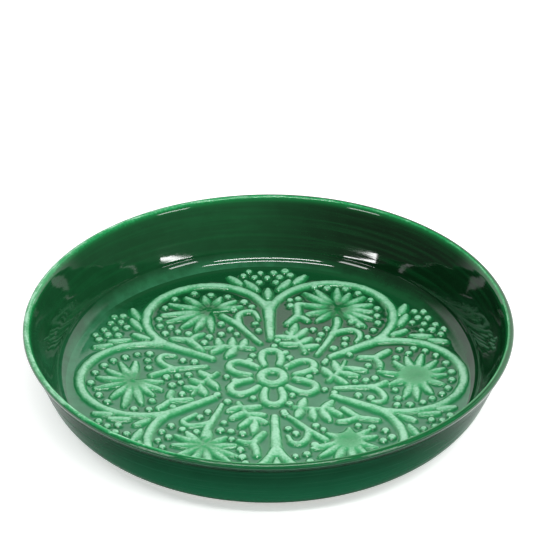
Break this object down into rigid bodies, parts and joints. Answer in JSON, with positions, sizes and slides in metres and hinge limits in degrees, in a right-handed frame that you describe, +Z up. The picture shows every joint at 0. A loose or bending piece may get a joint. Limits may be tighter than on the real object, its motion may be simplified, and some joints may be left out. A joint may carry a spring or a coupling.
{
  "type": "serving dish",
  "caption": "Round ceramic dish with a flared wall and a rolled lip, glossy green glaze inside over a raised six-lobed floral floor, and a satin green coat outside.",
  "frame": {"origin": "centre of the bounding box at the plane the foot ring stands on", "axes": "+Z up out of the dish along the axis it was turned on; +X towards the middle of one petal of the floor pattern"},
  "size_m": [0.26, 0.26, 0.044],
  "materials": {
    "bare_clay": "matte",
    "gloss_glaze": "gloss",
    "satin_coat": "satin",
    "relief_glaze": "gloss"
  },
  "bodies": {
    "root": {"clay_body": "bare_clay", "foot_ring": "bare_clay", "inner_glaze": "gloss_glaze", "outer_coat": "satin_coat", "petal_rib": "relief_glaze", "centre_ring": "relief_glaze", "rosette_petal_1": "relief_glaze", "rosette_petal_2": "relief_glaze", "rosette_petal_3": "relief_glaze", "rosette_petal_4": "relief_glaze", "rosette_petal_5": "relief_glaze", "rosette_petal_6": "relief_glaze", "daisy_1": "relief_glaze", "daisy_2": "relief_glaze", "daisy_3": "relief_glaze", "daisy_4": "relief_glaze", "daisy_5": "relief_glaze", "daisy_6": "relief_glaze", "stem_1": "relief_glaze", "stem_2": "relief_glaze", "stem_3": "relief_glaze", "stem_4": "relief_glaze", "stem_5": "relief_glaze", "stem_6": "relief_glaze", "sprig_1": "relief_glaze", "sprig_2": "relief_glaze", "sprig_3": "relief_glaze", "sprig_4": "relief_glaze", "sprig_5": "relief_glaze", "sprig_6": "relief_glaze", "leaf_spray_1": "relief_glaze", "leaf_spray_2": "relief_glaze", "leaf_spray_3": "relief_glaze", "leaf_spray_4": "relief_glaze", "leaf_spray_5": "relief_glaze", "leaf_spray_6": "relief_glaze", "fan_leaf_a_1": "relief_glaze", "fan_leaf_a_2": "relief_glaze", "fan_leaf_a_3": "relief_glaze", "fan_leaf_a_4": "relief_glaze", "fan_leaf_a_5": "relief_glaze", "fan_leaf_a_6": "relief_glaze", "fan_leaf_b_1": "relief_glaze", "fan_leaf_b_2": "relief_glaze", "fan_leaf_b_3": "relief_glaze", "fan_leaf_b_4": "relief_glaze", "fan_leaf_b_5": "relief_glaze", "fan_leaf_b_6": "relief_glaze", "fan_leaf_c_1": "relief_glaze", "fan_leaf_c_2": "relief_glaze", "fan_leaf_c_3": "relief_glaze", "fan_leaf_c_4": "relief_glaze", "fan_leaf_c_5": "relief_glaze", "fan_leaf_c_6": "relief_glaze", "fan_leaf_d_1": "relief_glaze", "fan_leaf_d_2": "relief_glaze", "fan_leaf_d_3": "relief_glaze", "fan_leaf_d_4": "relief_glaze", "fan_leaf_d_5": "relief_glaze", "fan_leaf_d_6": "relief_glaze"}
  },
  "joints": []
}
